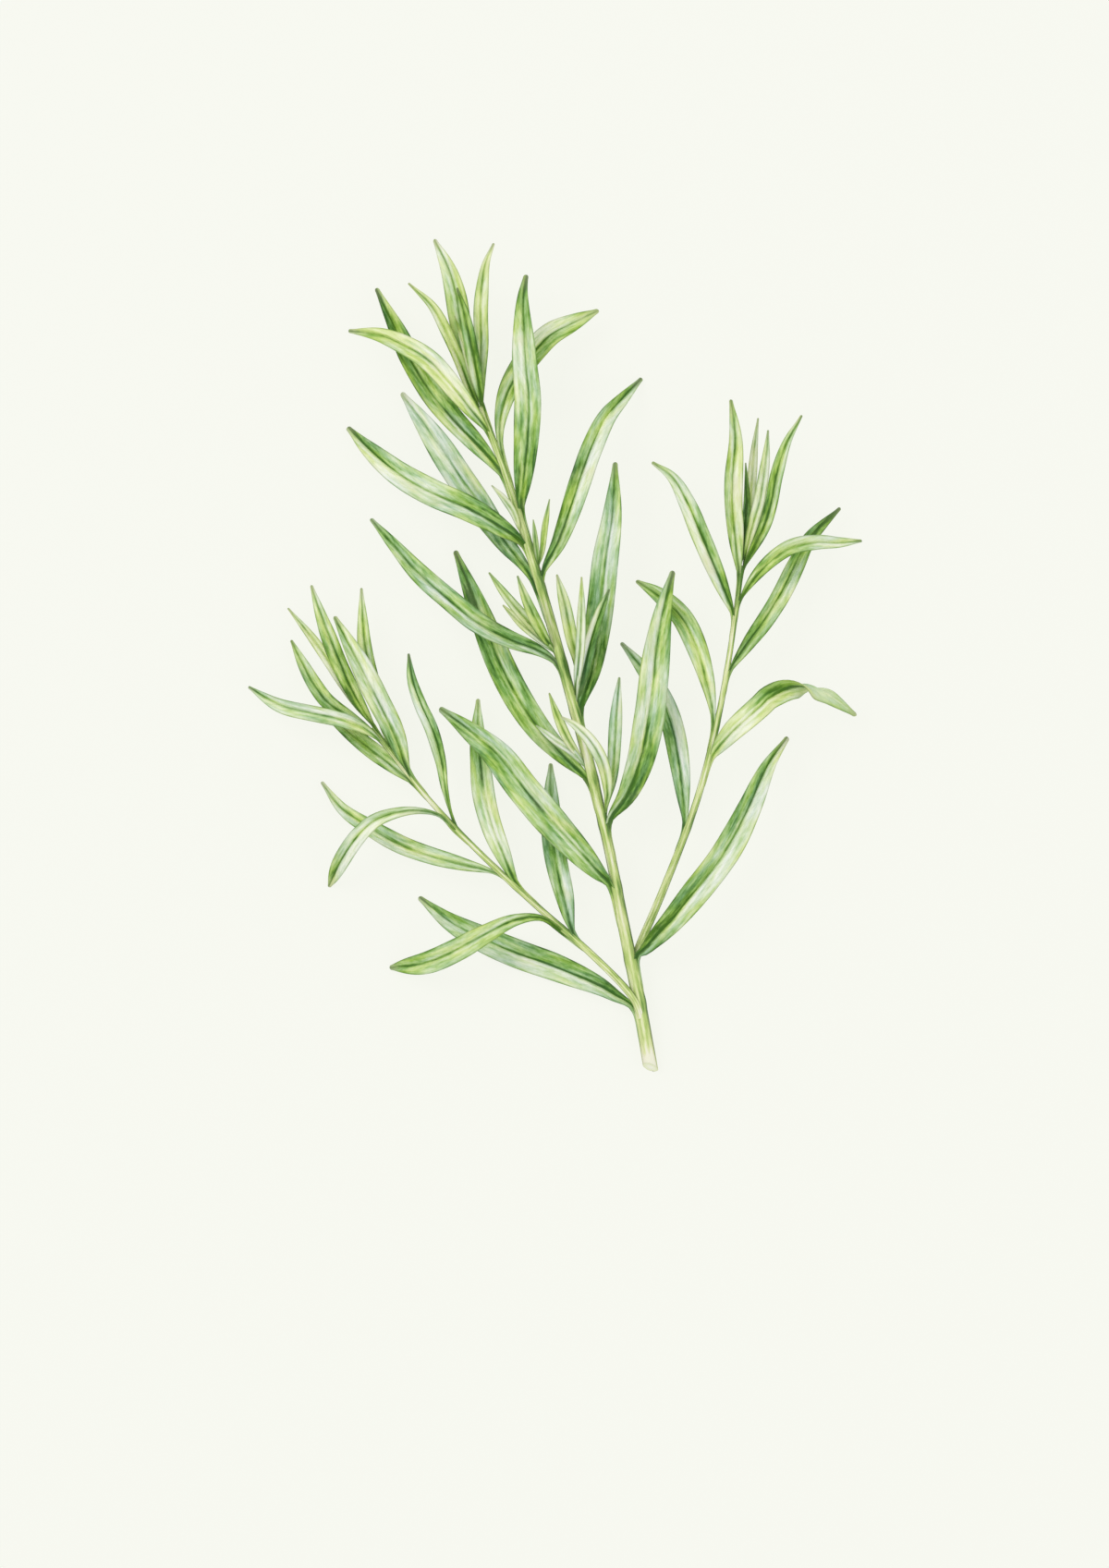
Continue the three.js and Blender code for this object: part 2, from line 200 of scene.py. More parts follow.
def sprig_piece(name, shells, finish, attributes, node):
    """One object from several closed shells, in millimetres in the sprig's own frame, which
    stands for a node of the solids. Each attribute is a list with one array for each shell, of
    three numbers at each of its points."""
    points, quads, caps, start = [], [], [], 0
    for shell_points, shell_quads, shell_caps in shells:
        points.append(shell_points)
        quads.append(shell_quads + start)
        caps.append(shell_caps + start)
        start += len(shell_points)
    points, quads, caps = np.concatenate(points), np.concatenate(quads), np.concatenate(caps)
    mesh = bpy.data.meshes.new(name)
    mesh.vertices.add(len(points))
    mesh.vertices.foreach_set("co", (points * MM).astype(np.float32).ravel())
    mesh.loops.add(quads.size + caps.size)
    mesh.loops.foreach_set("vertex_index", np.concatenate([quads.ravel(), caps.ravel()]))
    corners = np.repeat([4, 3], [len(quads), len(caps)])
    mesh.polygons.add(len(corners))
    mesh.polygons.foreach_set("loop_start", np.append(0, np.cumsum(corners)[:-1]))
    mesh.polygons.foreach_set("use_smooth", np.ones(len(corners), bool))
    for attribute, values in attributes.items():
        stored = mesh.attributes.new(attribute, "FLOAT_VECTOR", "POINT")
        stored.data.foreach_set("vector", np.concatenate(values).astype(np.float32).ravel())
    mesh.update(calc_edges=True)
    mesh.validate()
    mesh.materials.append(finish)
    piece = bpy.data.objects.new(name, mesh)
    bpy.context.collection.objects.link(piece)
    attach(piece, "root")
    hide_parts(node)


def stalk(rows, joints, slant=(0, 0)):
    """A stem carried along the line through its rows of x, y, height and radius. Its radius is
    the row's, times 1 plus a cosine with one crest for each ridge, whose phase sways by a sine
    along the stem, times 1 plus a bell curve at each joint. Its foot is cut square, or on a slant
    that dies away along the stem, and closed by smaller and smaller rings. Gives the shell and,
    for each point, (cosine and sine of the angle round the stem, cosine over the ridges without
    their sway) and (distance along the stem; nearness to a joint or, on the cut, minus the share
    of the way in to the pith; 0)."""
    line = through(rows)
    run = distances(line[:, :3])
    even = np.linspace(0, run[-1], int(run[-1] / STEM_STEP))
    line, run = sampled(line, run, even), even
    axis, radius = line[:, :3], line[:, 3]
    along, side, up = directions(axis, run)
    nearest = np.linalg.norm(axis[:, None, :2] - np.array(joints)[None], axis=2).argmin(0)
    beyond = run[:, None] - run[nearest] - SWELLING_LEAD
    bell = np.exp(-((beyond / SWELLING_LENGTH) ** 2)).max(1)
    angle = np.linspace(0, 2 * np.pi, STEM_AROUND, endpoint=False)
    sway = SWAY * np.sin(run[:, None] / SWAY_LENGTH)
    ridge = 1 + RIDGE * np.cos(RIDGES * angle[None] + sway)
    reach = radius[:, None] * ridge * (1 + SWELLING * bell[:, None])
    out = np.sin(angle)[None, :, None] * side[:, None] + np.cos(angle)[None, :, None] * up[:, None]
    rings = axis[:, None] + reach[..., None] * out

    shares = np.array(CUT_RINGS)[:, None, None]
    rings = np.vstack([axis[0] + shares * (rings[0] - axis[0])[None], rings])
    run, axis = (np.concatenate([np.repeat(x[:1], len(shares), 0), x]) for x in (run, axis))
    bell = np.append(shares[:, 0, 0] - (1 + CUT_MARK), bell)
    back = (rings - axis[:, None]) @ np.stack([side[0], up[0]], 1) @ np.tan(slant)
    back *= np.clip(1 - run / CUT_LENGTH, 0, 1)[:, None]
    rings -= back[..., None] * along[0]
    rings[..., 2] = np.maximum(rings[..., 2], STEM_CLEAR)
    around = np.stack([np.cos(angle), np.sin(angle), np.cos(RIDGES * angle)], -1)
    around = np.repeat(around[None], len(rings), 0)
    facts = np.stack(np.broadcast_arrays(run[:, None], bell[:, None], 0 * angle[None]), -1)
    return skin(rings), with_poles(around), with_poles(facts)


MIX_SOCKETS = {"FLOAT": (2, 3, 0), "RGBA": (6, 7, 2)}  # a mix node's two inputs, and its result


def drawer(material):
    """Short calls that draw a material's nodes. `add` makes a node from its settings and what
    feeds its sockets, `maths` works a value out of one or two others, `total` adds to a value
    others times their weights, `mixed` goes from one value or colour to another by a share, and
    `read` gives the three numbers of a mesh attribute."""
    tree = material.node_tree

    def add(kind, feeds=(), **settings):
        made = tree.nodes.new(kind)
        for key, value in settings.items():
            setattr(made, key, value)
        for socket, value in dict(feeds).items():
            if isinstance(value, bpy.types.NodeSocket):
                tree.links.new(value, made.inputs[socket])
            else:
                made.inputs[socket].default_value = value
        return made

    def maths(operation, *values, clamp=False):
        return add("ShaderNodeMath", enumerate(values), operation=operation,
                   use_clamp=clamp).outputs[0]

    def total(value, *terms):
        for term, weight in terms:
            value = maths("ADD", value, maths("MULTIPLY", term, weight))
        return value

    def mixed(share, first, second, kind="RGBA"):
        one, other, result = MIX_SOCKETS[kind]
        feeds = {"Factor": share, one: first, other: second}
        return add("ShaderNodeMix", feeds, data_type=kind).outputs[result]

    def read(attribute):
        stored = add("ShaderNodeAttribute", attribute_name=attribute).outputs["Vector"]
        return add("ShaderNodeSeparateXYZ", {0: stored}).outputs

    return add, maths, total, mixed, read


def ramp(add, value, stops):
    """A colour that runs evenly between the stops of (place, colour)."""
    made = add("ShaderNodeValToRGB", {"Fac": value})
    bar = made.color_ramp
    while len(bar.elements) < len(stops):
        bar.elements.new(1)
    for element, (place, colour) in zip(bar.elements, stops):
        element.position = place
        element.color = colour
    return made.outputs["Color"]


def srgb(*levels):
    """The scene's linear colour, opaque, for a screen colour of 0 to 255, by the sRGB curve."""
    share = np.array(levels) / 255
    linear = np.where(share < 0.04045, share / 12.92, ((share + 0.055) / 1.055) ** 2.4)
    return (*linear, 1)


# Patterns in a stem's skin: how fast each changes round it, per radian, and along it, per mm.
FIBRES = (1.8, 0.11)
PATCHES = (0.5, 0.08)
BLUSHES = (0.9, 0.06)
STEM_LAYERS = 3.0             # how many finer layers a pattern has
FINER = 0.6                   # how strong each layer is beside the one before
# What deepens a stem's green, and by how much.
RIDGE_AND_HIGHLIGHT_TONE = -0.15            # the crests of the ridges, which are paler; these stripes don't sway with the ridges, and the one along the top of the stem is a painted highlight
SIDES_PAINTED_SHADE = 0.72             # both sides of the stem, as painted shade of its round form,
SIDES_POWER = 4.0             # by this power of the sine of the angle round it
RIGHT_PAINTED_SHADE = 0.22             # its right side, as painted shade; the left one is paler by as much
FIBRE_TONE = 1.7
JOINT_TONE = 0.22             # round each joint,
JOINT_POWER = 0.2             # by this power of the swelling's bell curve, to reach farther
FOOT_PALER = 0.9              # the cut foot, bleached;
FOOT_LENGTH = 8.0             # mm, in which that dies away
BLUSH_FROM = 0.48             # the value of its pattern at which a buff blush starts,
BLUSH_RISE = 4.0              # how fast it comes up,
BLUSH_MOST = 0.3              # and its greatest share
BROWN_RISE = 1.2              # how fast the brown of the sides comes up with the patches,
BROWN_FROM = 0.35             # less this
STEM_BUMP = 0.5
STEM_BUMP_HEIGHT = 0.0003     # m
STEM_ROUGHNESS = 0.55
STEM_SHINE = 0.3


def stem_finish(name, middle, patches, darkest):
    """Stem skin. Its depth of green is a middle one, deepened or paled by the ridges, the sides,
    the fibres, soft patches and the joints, each times its tone, and bleached towards the foot.
    Both sides are deeper as painted shade, the right one more than the left, and the pale stripe
    along the top of the stem is a painted highlight. Buff blushes lie over it, and the sides are
    brown in places. On the cut a pale ring of fibres stands round paler pith."""
    finish = bpy.data.materials.new(name)
    finish.use_nodes = True
    add, maths, total, mixed, read = drawer(finish)
    crest, flank, wave = read("around")
    run, joint, _ = read("stalk")

    def noise(round_the_stem, along_it):
        at = add("ShaderNodeCombineXYZ", {0: maths("MULTIPLY", crest, round_the_stem),
                                          1: maths("MULTIPLY", flank, round_the_stem),
                                          2: maths("MULTIPLY", run, along_it)}).outputs[0]
        return add("ShaderNodeTexNoise", {"Vector": at, "Scale": 1.0, "Detail": STEM_LAYERS,
                                          "Roughness": FINER}).outputs["Fac"]

    fibre, patch, blush = noise(*FIBRES), noise(*PATCHES), noise(*BLUSHES)
    # Painted shade: both sides of the round stem are deeper, and its right side more than its
    # left.
    sides = maths("POWER", maths("ABSOLUTE", flank), SIDES_POWER)
    near = maths("POWER", maths("MAXIMUM", joint, 0.0), JOINT_POWER)
    depth = total(middle, (wave, RIDGE_AND_HIGHLIGHT_TONE), (sides, SIDES_PAINTED_SHADE), (flank, RIGHT_PAINTED_SHADE),
                  (maths("SUBTRACT", fibre, 0.5), FIBRE_TONE),
                  (maths("SUBTRACT", patch, 0.5), patches), (near, JOINT_TONE))
    foot = maths("SUBTRACT", 1.0, maths("DIVIDE", run, FOOT_LENGTH), clamp=True)
    depth = maths("SUBTRACT", depth, maths("MULTIPLY", foot, FOOT_PALER), clamp=True)
    colour = ramp(add, depth, [
        (0.0, srgb(232, 231, 210)), (0.28, srgb(213, 221, 162)), (0.55, srgb(176, 198, 112)),
        (0.8, srgb(124, 159, 76)), (1.0, darkest)])
    buff, brown = srgb(216, 205, 172), srgb(136, 132, 96)
    blush = maths("MULTIPLY", maths("SUBTRACT", blush, BLUSH_FROM), BLUSH_RISE, clamp=True)
    colour = mixed(maths("MULTIPLY", blush, BLUSH_MOST), colour, buff)
    # Brown in patches, laid on the stem's sides by the same mask as their painted shade.
    brown_patches = maths("SUBTRACT", maths("MULTIPLY", patch, BROWN_RISE), BROWN_FROM, clamp=True)
    colour = mixed(maths("MULTIPLY", sides, brown_patches), colour, brown)
    pith = ramp(add, maths("MULTIPLY", joint, -1.0), [
        (0.0, srgb(216, 222, 178)), (0.25, srgb(228, 232, 200)), (1.0, srgb(242, 242, 228))])
    colour = mixed(maths("LESS_THAN", joint, -CUT_MARK / 2), colour, pith)
    shader = finish.node_tree.nodes["Principled BSDF"]
    finish.node_tree.links.new(colour, shader.inputs["Base Color"])
    bump = add("ShaderNodeBump", {"Height": fibre, "Strength": STEM_BUMP,
                                  "Distance": STEM_BUMP_HEIGHT})
    finish.node_tree.links.new(bump.outputs[0], shader.inputs["Normal"])
    shader.inputs["Roughness"].default_value = STEM_ROUGHNESS
    shader.inputs["Specular IOR Level"].default_value = STEM_SHINE
    return finish


stem_green = stem_finish("main_stem_skin", middle=0.36, patches=0.9, darkest=srgb(70, 114, 40))
shell, around, facts = stalk(MAIN_STEM, MAIN_NODES, CUT_SLANT)
sprig_piece("main_stem", [shell], stem_green, {"around": [around], "stalk": [facts]},
            "main_shoot")


# ---- leaves of the main stem ----
# Narrow smooth leaves, one at each joint of the stem. Each is a thin blade in two halves that
# rise from a sunken midrib, with the rib standing out below, and it is part of the stem's skin.

# Rows: greatest width in mm, and its place as a share of the length; heights of the midrib in mm
# at its middle and tip; depth of green, 0 to 9, at five places from root to tip of the left half,
# and of the right half, which holds painted light and shade besides the leaf's own green: one half
# is painted paler, as lit, and the other deeper, as shaded, with painted shadow where another leaf
# lies across it and painted shade at the root; tint, from -1 for yellow young green to 1 for
# grey-blue green; the places that the midrib passes, in mm, stem outwards; and, in a leaf that
# turns over, the share of its length at which it does so.
MAIN_LEAVES = [
    (7.4, 0.5, (1.2, 0.3), "53253", "97656", 0.25, [(20.6, -91.2), (15.6, -87.5), (10.1, -84.4),
     (0, -80.2), (-9.6, -76.8), (-19.2, -72.7), (-27.6, -68.2), (-35.4, -62)]),
    (7.6, 0.45, (15, 8), "98467", "73222", -0.1, [(22, -78.5), (23.5, -75.6), (25.9, -72.9),
     (31.1, -67.2), (36.6, -60.4), (44.4, -50.1), (50.6, -38.4), (55.2, -28.3), (60.7, -20.3)]),
    (8.9, 0.47, (15, 9), "75566", "85346", 0.0, [(16.1, -59.8), (10.6, -54.5), (1.1, -44),
     (-7, -34.7), (-14.6, -25), (-22.8, -18), (-29.9, -12.8)]),
    (8.2, 0.47, (17.5, 17), "64334", "97457", -0.1, [(14.6, -43.2), (18.7, -35.3),
     (22.3, -25.7), (24.2, -16.1), (25.4, -6.5), (26.5, 3.1), (28.4, 13.9), (30.7, 22.8)]),
    (7.5, 0.47, (9, 3), "95787", "66656", -0.25, [(8.9, -32.4), (2.4, -25.2), (-3.8, -18.5),
     (-9.2, -10.6), (-13.6, -2.2), (-17.3, 6.7), (-21.1, 16.3), (-25.9, 28.3)]),
    (7.2, 0.47, (15, 12), "88636", "96426", 0.4, [(7.1, -14.2), (9.5, -3.6), (11, 5.5),
     (12.3, 16.3), (13.5, 27.1), (15.1, 37.9), (15.8, 51.1)]),
    (5.9, 0.47, (17, 8), "64446", "87556", 0.2, [(2.4, -1.7), (-3.8, 1.9), (-12, 5),
     (-20.4, 9.5), (-28.7, 16.3), (-35.8, 22.7), (-41.8, 29.6), (-47.8, 36.5)]),
    (7.5, 0.55, (10, 5), "86432", "76421", 0.6, [(-3.6, 18.2), (-7.9, 24.2), (-12.7, 30.2),
     (-18.2, 38.2), (-23.7, 46.1), (-29, 54.2), (-34.3, 61.9), (-39.8, 69.4)]),
    (7.2, 0.44, (17, 0.5), "84314", "97369", -0.15, [(-7.4, 29), (-14.4, 34.3), (-22.8, 39),
     (-31.2, 42.7), (-39.6, 47.4), (-47.5, 53.8), (-54, 60.5)]),
    (5.85, 0.47, (17, 0.5), "98657", "64125", 0.0, [(-2.9, 21.4), (1, 30), (4.2, 38.6),
     (6.8, 46.6), (9.6, 54.5), (13.3, 62.4), (17.8, 67.8), (22.8, 73.3)]),
    (7.2, 0.45, (20, 16), "76327", "87448", -0.1, [(-9.1, 37.7), (-8, 46.3), (-7, 58.3),
     (-6.8, 67.9), (-7.6, 77.5), (-8.2, 88.3), (-8.1, 94.8), (-7.3, 99.6)]),
    (6.5, 0.47, (11, 5), "53688", "97675", -0.35, [(-13, 46.8), (-16.1, 50.9), (-21.2, 56.5),
     (-27.1, 62.9), (-32.8, 70.2), (-37.8, 78.7), (-41.9, 87.4), (-46.4, 96.6)]),
    (6.5, 0.6, (11.5, 8), "45624", "54854", -0.5, [(-14.2, 51.6), (-14.2, 58.3), (-13.6, 64.1),
     (-11.8, 70.1), (-8.6, 75.6), (-5, 80.4), (-0.8, 84.5), (4.8, 87.4), (11.5, 90.7)]),
    (5.7, 0.47, (18, 12), "73355", "72134", -0.75, [(-17, 58.8), (-21.8, 64.8), (-26.8, 71.1),
     (-32.1, 77), (-38.2, 81), (-45.5, 84.1), (-53.5, 85.2)]),
]
FOLD = np.radians(15)         # each half of a leaf rises this much from its midrib,
FOLD_ROOT = 1.15              # times this at the root,
FOLD_LOSS = 0.3               # and this much less at the tip
TAIL = 1.3                    # how far a leaf's base runs down the stem, as a share of its width
FLANK = 0.85                  # where it does so, as a share of the stem's radius, to the side
LIFT = 0.45                   # and upwards
HUG = np.radians(15)          # how steeply it lies against the stem there
HUG_LENGTH = 4.0              # mm, beyond the joint, in which the leaf eases out of it
ROLL = np.radians(14)         # a leaf is turned about its midrib by up to this much
SPIRAL = np.radians(137.5)    # from one leaf to the next round the stem
PRESSED = 3.0                 # mm; below this the table presses a leaf flat and level
LEAF_BASE = 0.12              # half the width at a leaf's base, as a share of the greatest
LEAF_TIP = 0.095              # the radius of its blunt tip, as the same share
TIP_LEAST = 0.04              # of that radius, which keeps the last ring open
TAIL_LEAST = 0.01             # of the tail's length, which keeps the first ring open
FULLNESS = 2.4                # the higher, the longer a leaf keeps its full width
BLADE = 0.5                   # mm, thickness of a blade
BLADE_LEAST = 0.35            # the share of it that a blade of no width has,
BLADE_WIDTH = 2               # and the mm of half width that add a whole one, up to the full
EDGE_POWER = 6                # the higher, the nearer to its edge a blade stays thick
KEEL = 0.32                   # mm, how far the rib stands out under it
KEEL_HALF = 0.5               # mm, half its breadth
KEEL_LOSS = 0.7               # how much of it is gone at the tip
GROOVE = 0.14                 # mm, how deep the midrib is sunk in the upper side
GROOVE_HALF = 0.32            # mm, half its breadth
GROOVE_WIDTH = 1.5            # mm of half width, below which it is less deep
TURNOVER = 0.33               # of the length, in which a leaf that turns over does so
TURN_LAG = 0.035              # of the length, by which its right edge does so after its midrib
CROWN = 0.22                  # how strongly each half of the blade is arched
WAVE = 0.28                   # mm, the waves of a leaf's edges
WAVE_LENGTH = 17              # mm from one wave to the next
WAVE_STEP = 2.4               # radians by which the waves are moved on from leaf to leaf,
WAVE_LAG = 1.9                # and on the right edge against the left one
MIDRIB_STEPS = 4              # points of the midrib for each place in the row
UNDER_CLEAR = 0.03            # mm above the table that a leaf's under side keeps, at least
UPPER_CLEAR = 0.04            # and that its upper side keeps, besides its thickness
LEAF_RINGS = 61
TAIL_RINGS = 7
EVENNESS = 0.15               # how evenly the rings stand; the rest crowds them towards the tip
STATIONS = (0.06, 0.28, 0.5, 0.72, 0.94)  # shares of the length at which a row gives its depths
DEEPEST = 9                   # the row's digit for the deepest green
SHADE_INWARD = 0.35                   # painted shade: how much deeper the shaded half is at its midrib than at its edge
SHADE = 0.45                  # painted shade: how much deeper it is, besides, close beside the midrib
SHADE_HALF = 0.6              # mm
# Places across the upper side from the left edge to the right one, close at edges and midrib.
ACROSS = np.array([-1, -.985, -.94, -.84, -.68, -.5, -.34, -.2, -.11, -.05, 0,
                   .05, .11, .2, .34, .5, .68, .84, .94, .985, 1])


def blade(row, number, stem_rows):
    """A leaf's shell, from t, the share of the length, and u, -1 at the left edge and 1 at the
    right one. Its midrib is the line through its places, from a tail on the flank of the stem
    below its joint, at the height of the parabola through root, middle and tip heights. With
    w = 1 - |2 t^n - 1|^FULLNESS, and n such that w is 1 at the widest place, half the width is
    the greatest width times the length of a right triangle's long side over w / 2 and LEAF_TIP.
    The tip ends as a half circle, and the tail narrows with the square root. The rings stand
    closer towards the tip, by the sine. The blade is turned about its midrib by a roll of its
    own, by a hug to the stem that dies away beyond the joint as a bell curve, and, where it turns
    over, by half a cosine that starts later to the right. Across, the upper side rises from the
    groove at the fold's slope plus an arch |u|(1 - |u|) and the waves, a sine that grows with u^2.
    The lower side lies a blade's thickness, which thins to nothing at the edge, and the keel's
    bell curve below it. Gives the shell and, for each point, (mm across, mm along, number),
    (depth of green, tint, |u|) and (1 on the under side, t, mm to the edge)."""
    width, widest, (middle, end), left, right, tint, places, *turnover = row
    stem = through(stem_rows)
    run = distances(stem[:, :3])
    joint = run[np.linalg.norm(stem[:, :2] - places[0], axis=1).argmin()]
    foot, root = sampled(stem, run, np.array([joint - TAIL * width, joint]))
    root[2], foot[2] = root[2] + LIFT * root[3], foot[2] + LIFT * foot[3]
    stem_way, away = root[:2] - foot[:2], places[1] - root[:2]
    away -= stem_way * (away @ stem_way) / (stem_way @ stem_way)
    away *= FLANK / np.linalg.norm(away)
    flat = through([foot[:2] + foot[3] * away, root[:2] + root[3] * away, *places[1:]])
    run = distances(flat)
    tail = run[SPAN_STEPS]
    t = np.linspace(-tail / (run[-1] - tail), 1, MIDRIB_STEPS * len(places) + 1)
    flat = sampled(flat, run, tail + t * (run[-1] - tail))
    on_stem, t = np.minimum(t, 0) / t[0], np.maximum(t, 0)
    height = root[2] * (1 - t) * (1 - 2 * t) + 4 * middle * t * (1 - t) + end * t * (2 * t - 1)
    height += on_stem * (foot[2] - root[2])
    midrib = through(np.column_stack([flat, height]))
    run = distances(midrib)
    length = run[-1] - tail
    t = np.linspace(0, 1, LEAF_RINGS)
    t = EVENNESS * t + (1 - EVENNESS) * np.sin(np.pi / 2 * t)
    t = np.append(np.linspace(-tail / length, 0, TAIL_RINGS, endpoint=False), t)
    midrib = sampled(midrib, run, tail + t * length)
    along, side, up = directions(midrib, t)
    along_mm = t[:, None] * length
    t = np.maximum(t[:, None], 0)
    free = np.clip(midrib[:, 2:] / PRESSED, 0, 1)
    turned = free * ROLL * np.sin(number * SPIRAL)
    hug = HUG * np.sign(side[0, :2] @ away)
    turned = turned + hug * np.exp(-np.maximum(along_mm / HUG_LENGTH, 0) ** 2)
    for place in turnover:
        turn = np.clip((t - place - TURN_LAG * ACROSS) / TURNOVER + 0.5, 0, 1)
        turned = turned + np.pi * (0.5 - 0.5 * np.cos(np.pi * turn))
    side, up, turned = side[:, None], up[:, None], turned[..., None]
    side, up = (side * np.cos(turned) - up * np.sin(turned),
                up * np.cos(turned) + side * np.sin(turned))

    half = 1 - np.abs(2 * t ** (np.log(0.5) / np.log(widest)) - 1) ** FULLNESS
    half = width * np.hypot(half / 2, LEAF_TIP)
    half = np.maximum(half, np.where(t < widest, LEAF_BASE * width, 0))
    to_tip = np.clip((1 - t) * length / (LEAF_TIP * width), TIP_LEAST, 1)
    half *= np.sqrt(1 - (1 - to_tip) ** 2) * np.sqrt(np.clip(1 + along_mm / tail, TAIL_LEAST, 1))
    u = ACROSS[None]
    phase = number * WAVE_STEP + np.where(u < 0, 0, WAVE_LAG)
    ripple = np.sin(2 * np.pi * along_mm / WAVE_LENGTH + phase) * u ** 2 * np.sin(np.pi * t)
    s = np.abs(u) * half
    slope = free * FOLD * (FOLD_ROOT - FOLD_LOSS * t)
    arch = free * CROWN * half * np.abs(u) * (1 - np.abs(u))
    top = s * np.sin(slope) + arch + WAVE * free * ripple
    top -= GROOVE * np.exp(-(s / GROOVE_HALF) ** 2) * np.minimum(1, half / GROOVE_WIDTH)
    thick = BLADE * np.sqrt(1 - u ** EDGE_POWER) * np.minimum(1, BLADE_LEAST + half / BLADE_WIDTH)
    keel = KEEL * np.exp(-(s / KEEL_HALF) ** 2) * (1 - KEEL_LOSS * t)
    out = u * half * np.cos(slope)

    def lay(rise, least):
        points = midrib[:, None] + out[..., None] * side + rise[..., None] * up
        points[..., 2] = np.maximum(points[..., 2], least)
        return points

    upper = lay(top, UPPER_CLEAR + thick)
    lower = lay(top - thick - keel, np.full_like(thick, UNDER_CLEAR))
    rings = np.concatenate([upper, lower[:, -2:0:-1]], 1)

    left, right = (np.interp(t, STATIONS, list(map(int, digits))) / DEEPEST
                   for digits in (left, right))
    # Painted shade: the deeper, shaded half is deeper still towards the midrib, in the fold.
    deeper = np.maximum(0, np.where(u < 0, left - right, right - left))
    depth = np.where(u < 0, left, np.where(u > 0, right, (left + right) / 2))
    depth = depth + deeper * (SHADE_INWARD * (0.5 - np.abs(u)) + SHADE * np.exp(-(s / SHADE_HALF) ** 2))
    where = np.stack(np.broadcast_arrays(u * half, along_mm, float(number)), -1)
    wash = np.stack(np.broadcast_arrays(depth, tint, np.abs(u)), -1)
    under = np.stack(np.broadcast_arrays(0.0, t, half - s), -1)
    below = under[:, -2:0:-1] + (1, 0, 0)
    where, wash = (np.concatenate([x, x[:, -2:0:-1]], 1) for x in (where, wash))
    return skin(rings), with_poles(where), with_poles(wash), with_poles(
        np.concatenate([under, below], 1))


def leaves(name, rows, first, stem_rows, finish, node):
    """One piece of all the leaves in the rows. `first` is the first one's number in its shoot."""
    made = [blade(row, first + i, stem_rows) for i, row in enumerate(rows)]
    shells, where, wash, under = zip(*made)
    sprig_piece(name, shells, finish, {"where": where, "wash": wash, "under": under}, node)


# Patterns in a leaf's skin: how fast each changes across and along it, per mm, and from one leaf
# to the next, and how many finer layers it has.
STREAKS = (1.3, 0.10, 5.3, 2.0)
GRAIN = (1.1, 0.55, 4.1, 2.0)
BLOTCHES = (0.35, 0.11, 3.1, 2.0)
SHIFTS = (0.45, 0.07, 8.7, 2.0)
WASHES = (0.6, 0.10, 6.7, 3.0)
FADES = (0.28, 0.12, 9.9, 3.0)
WASH_RISE = 9.0               # how sharp the edges between washes are
FADE_RISE = 5.0               # how fast a faded patch comes up with its pattern,
FADE_FROM = 0.15              # less this
# Lines along a leaf, in mm.
MIDRIB_HALF = 0.26            # half the breadth of the line down the midrib,
BESIDE = 0.75                 # how far from it the pale line beside it lies, a painted highlight,
BESIDE_HALF = 0.35            # half the breadth of that one,
RIM_HALF = 0.26               # and that of the dark edge,
RIM_LOSS = 0.8                # which has lost this much at the tip,
RIM_POWER = 6.0               # by this power of the share of the length
VEIN_APART = 4.4              # from one side vein to the next
VEIN_SLANT = 2.6              # how far they run along for each mm across
VEIN_STAGGER = 0.23           # of a gap, by which those of each half are moved apart
VEIN_HALF = 0.06              # of a gap, half their breadth
VEIN_POWER = 3.0              # they fade by this power of the share of the way to the edge
ROOT_LENGTH = 5.0             # in which the painted shade at the root, where the leaf meets the stem, dies away
# What deepens a leaf's green, and by how much.
GRAIN_TONE = 0.32
WASH_TONE = 0.13
MIDRIB_TONE = 0.22
BESIDE_HIGHLIGHT = -0.20           # the painted highlight beside the midrib, at the root,
BESIDE_LOSS = 0.15            # and this much nearer to nothing at the tip
RIM_TONE = 0.20
RIM_BLOTCH = 1.4              # times the blotches, what is added to it
VEIN_TONE = 0.05
ROOT_SHADE = 0.17              # painted shade at the root, times the square of the depth there
TAIL_TONE = 0.45              # the depth that the tail comes to, near that of the stem
TAIL_RISE = 0.3               # the share by which it does so for each mm down the stem
UNDER_LEAST = 0.10            # the depth of the under side: this,
UNDER_TONE = 0.55             # the upper side's times this,
UNDER_RIB = -0.25             # and this on the rib
# What moves its tint towards grey-blue, and by how much.
SHIFT_TINT = 5.0
UNDER_TINT = 0.35
TAIL_TINT = -0.6
# The faded patches, the dry tip and the lines of grey-green.
FADE_MOST = 0.62              # the share of straw in a faded patch,
FADE_LOSS = 0.5               # less this times the depth
DRY_PART = 12.0               # the last one of so many parts of a leaf dries towards its tip,
DRY_MOST = 0.5                # and at the tip by this share
LINE_LEAST = 0.22             # the share of grey-green in the line down the midrib,
LINE_SHIFT = 1.5              # and what the slow shifts add to it, times this
LINE_RIM = 0.5                # its share in the edge
# Relief and gloss.
STREAK_BUMP = 0.8
VEIN_BUMP = -0.5
LEAF_BUMP_HEIGHT = 0.0002     # m
STREAK_ROUGHER = 0.25
UNDER_ROUGHER = 0.12
LEAF_SHINE = 0.2


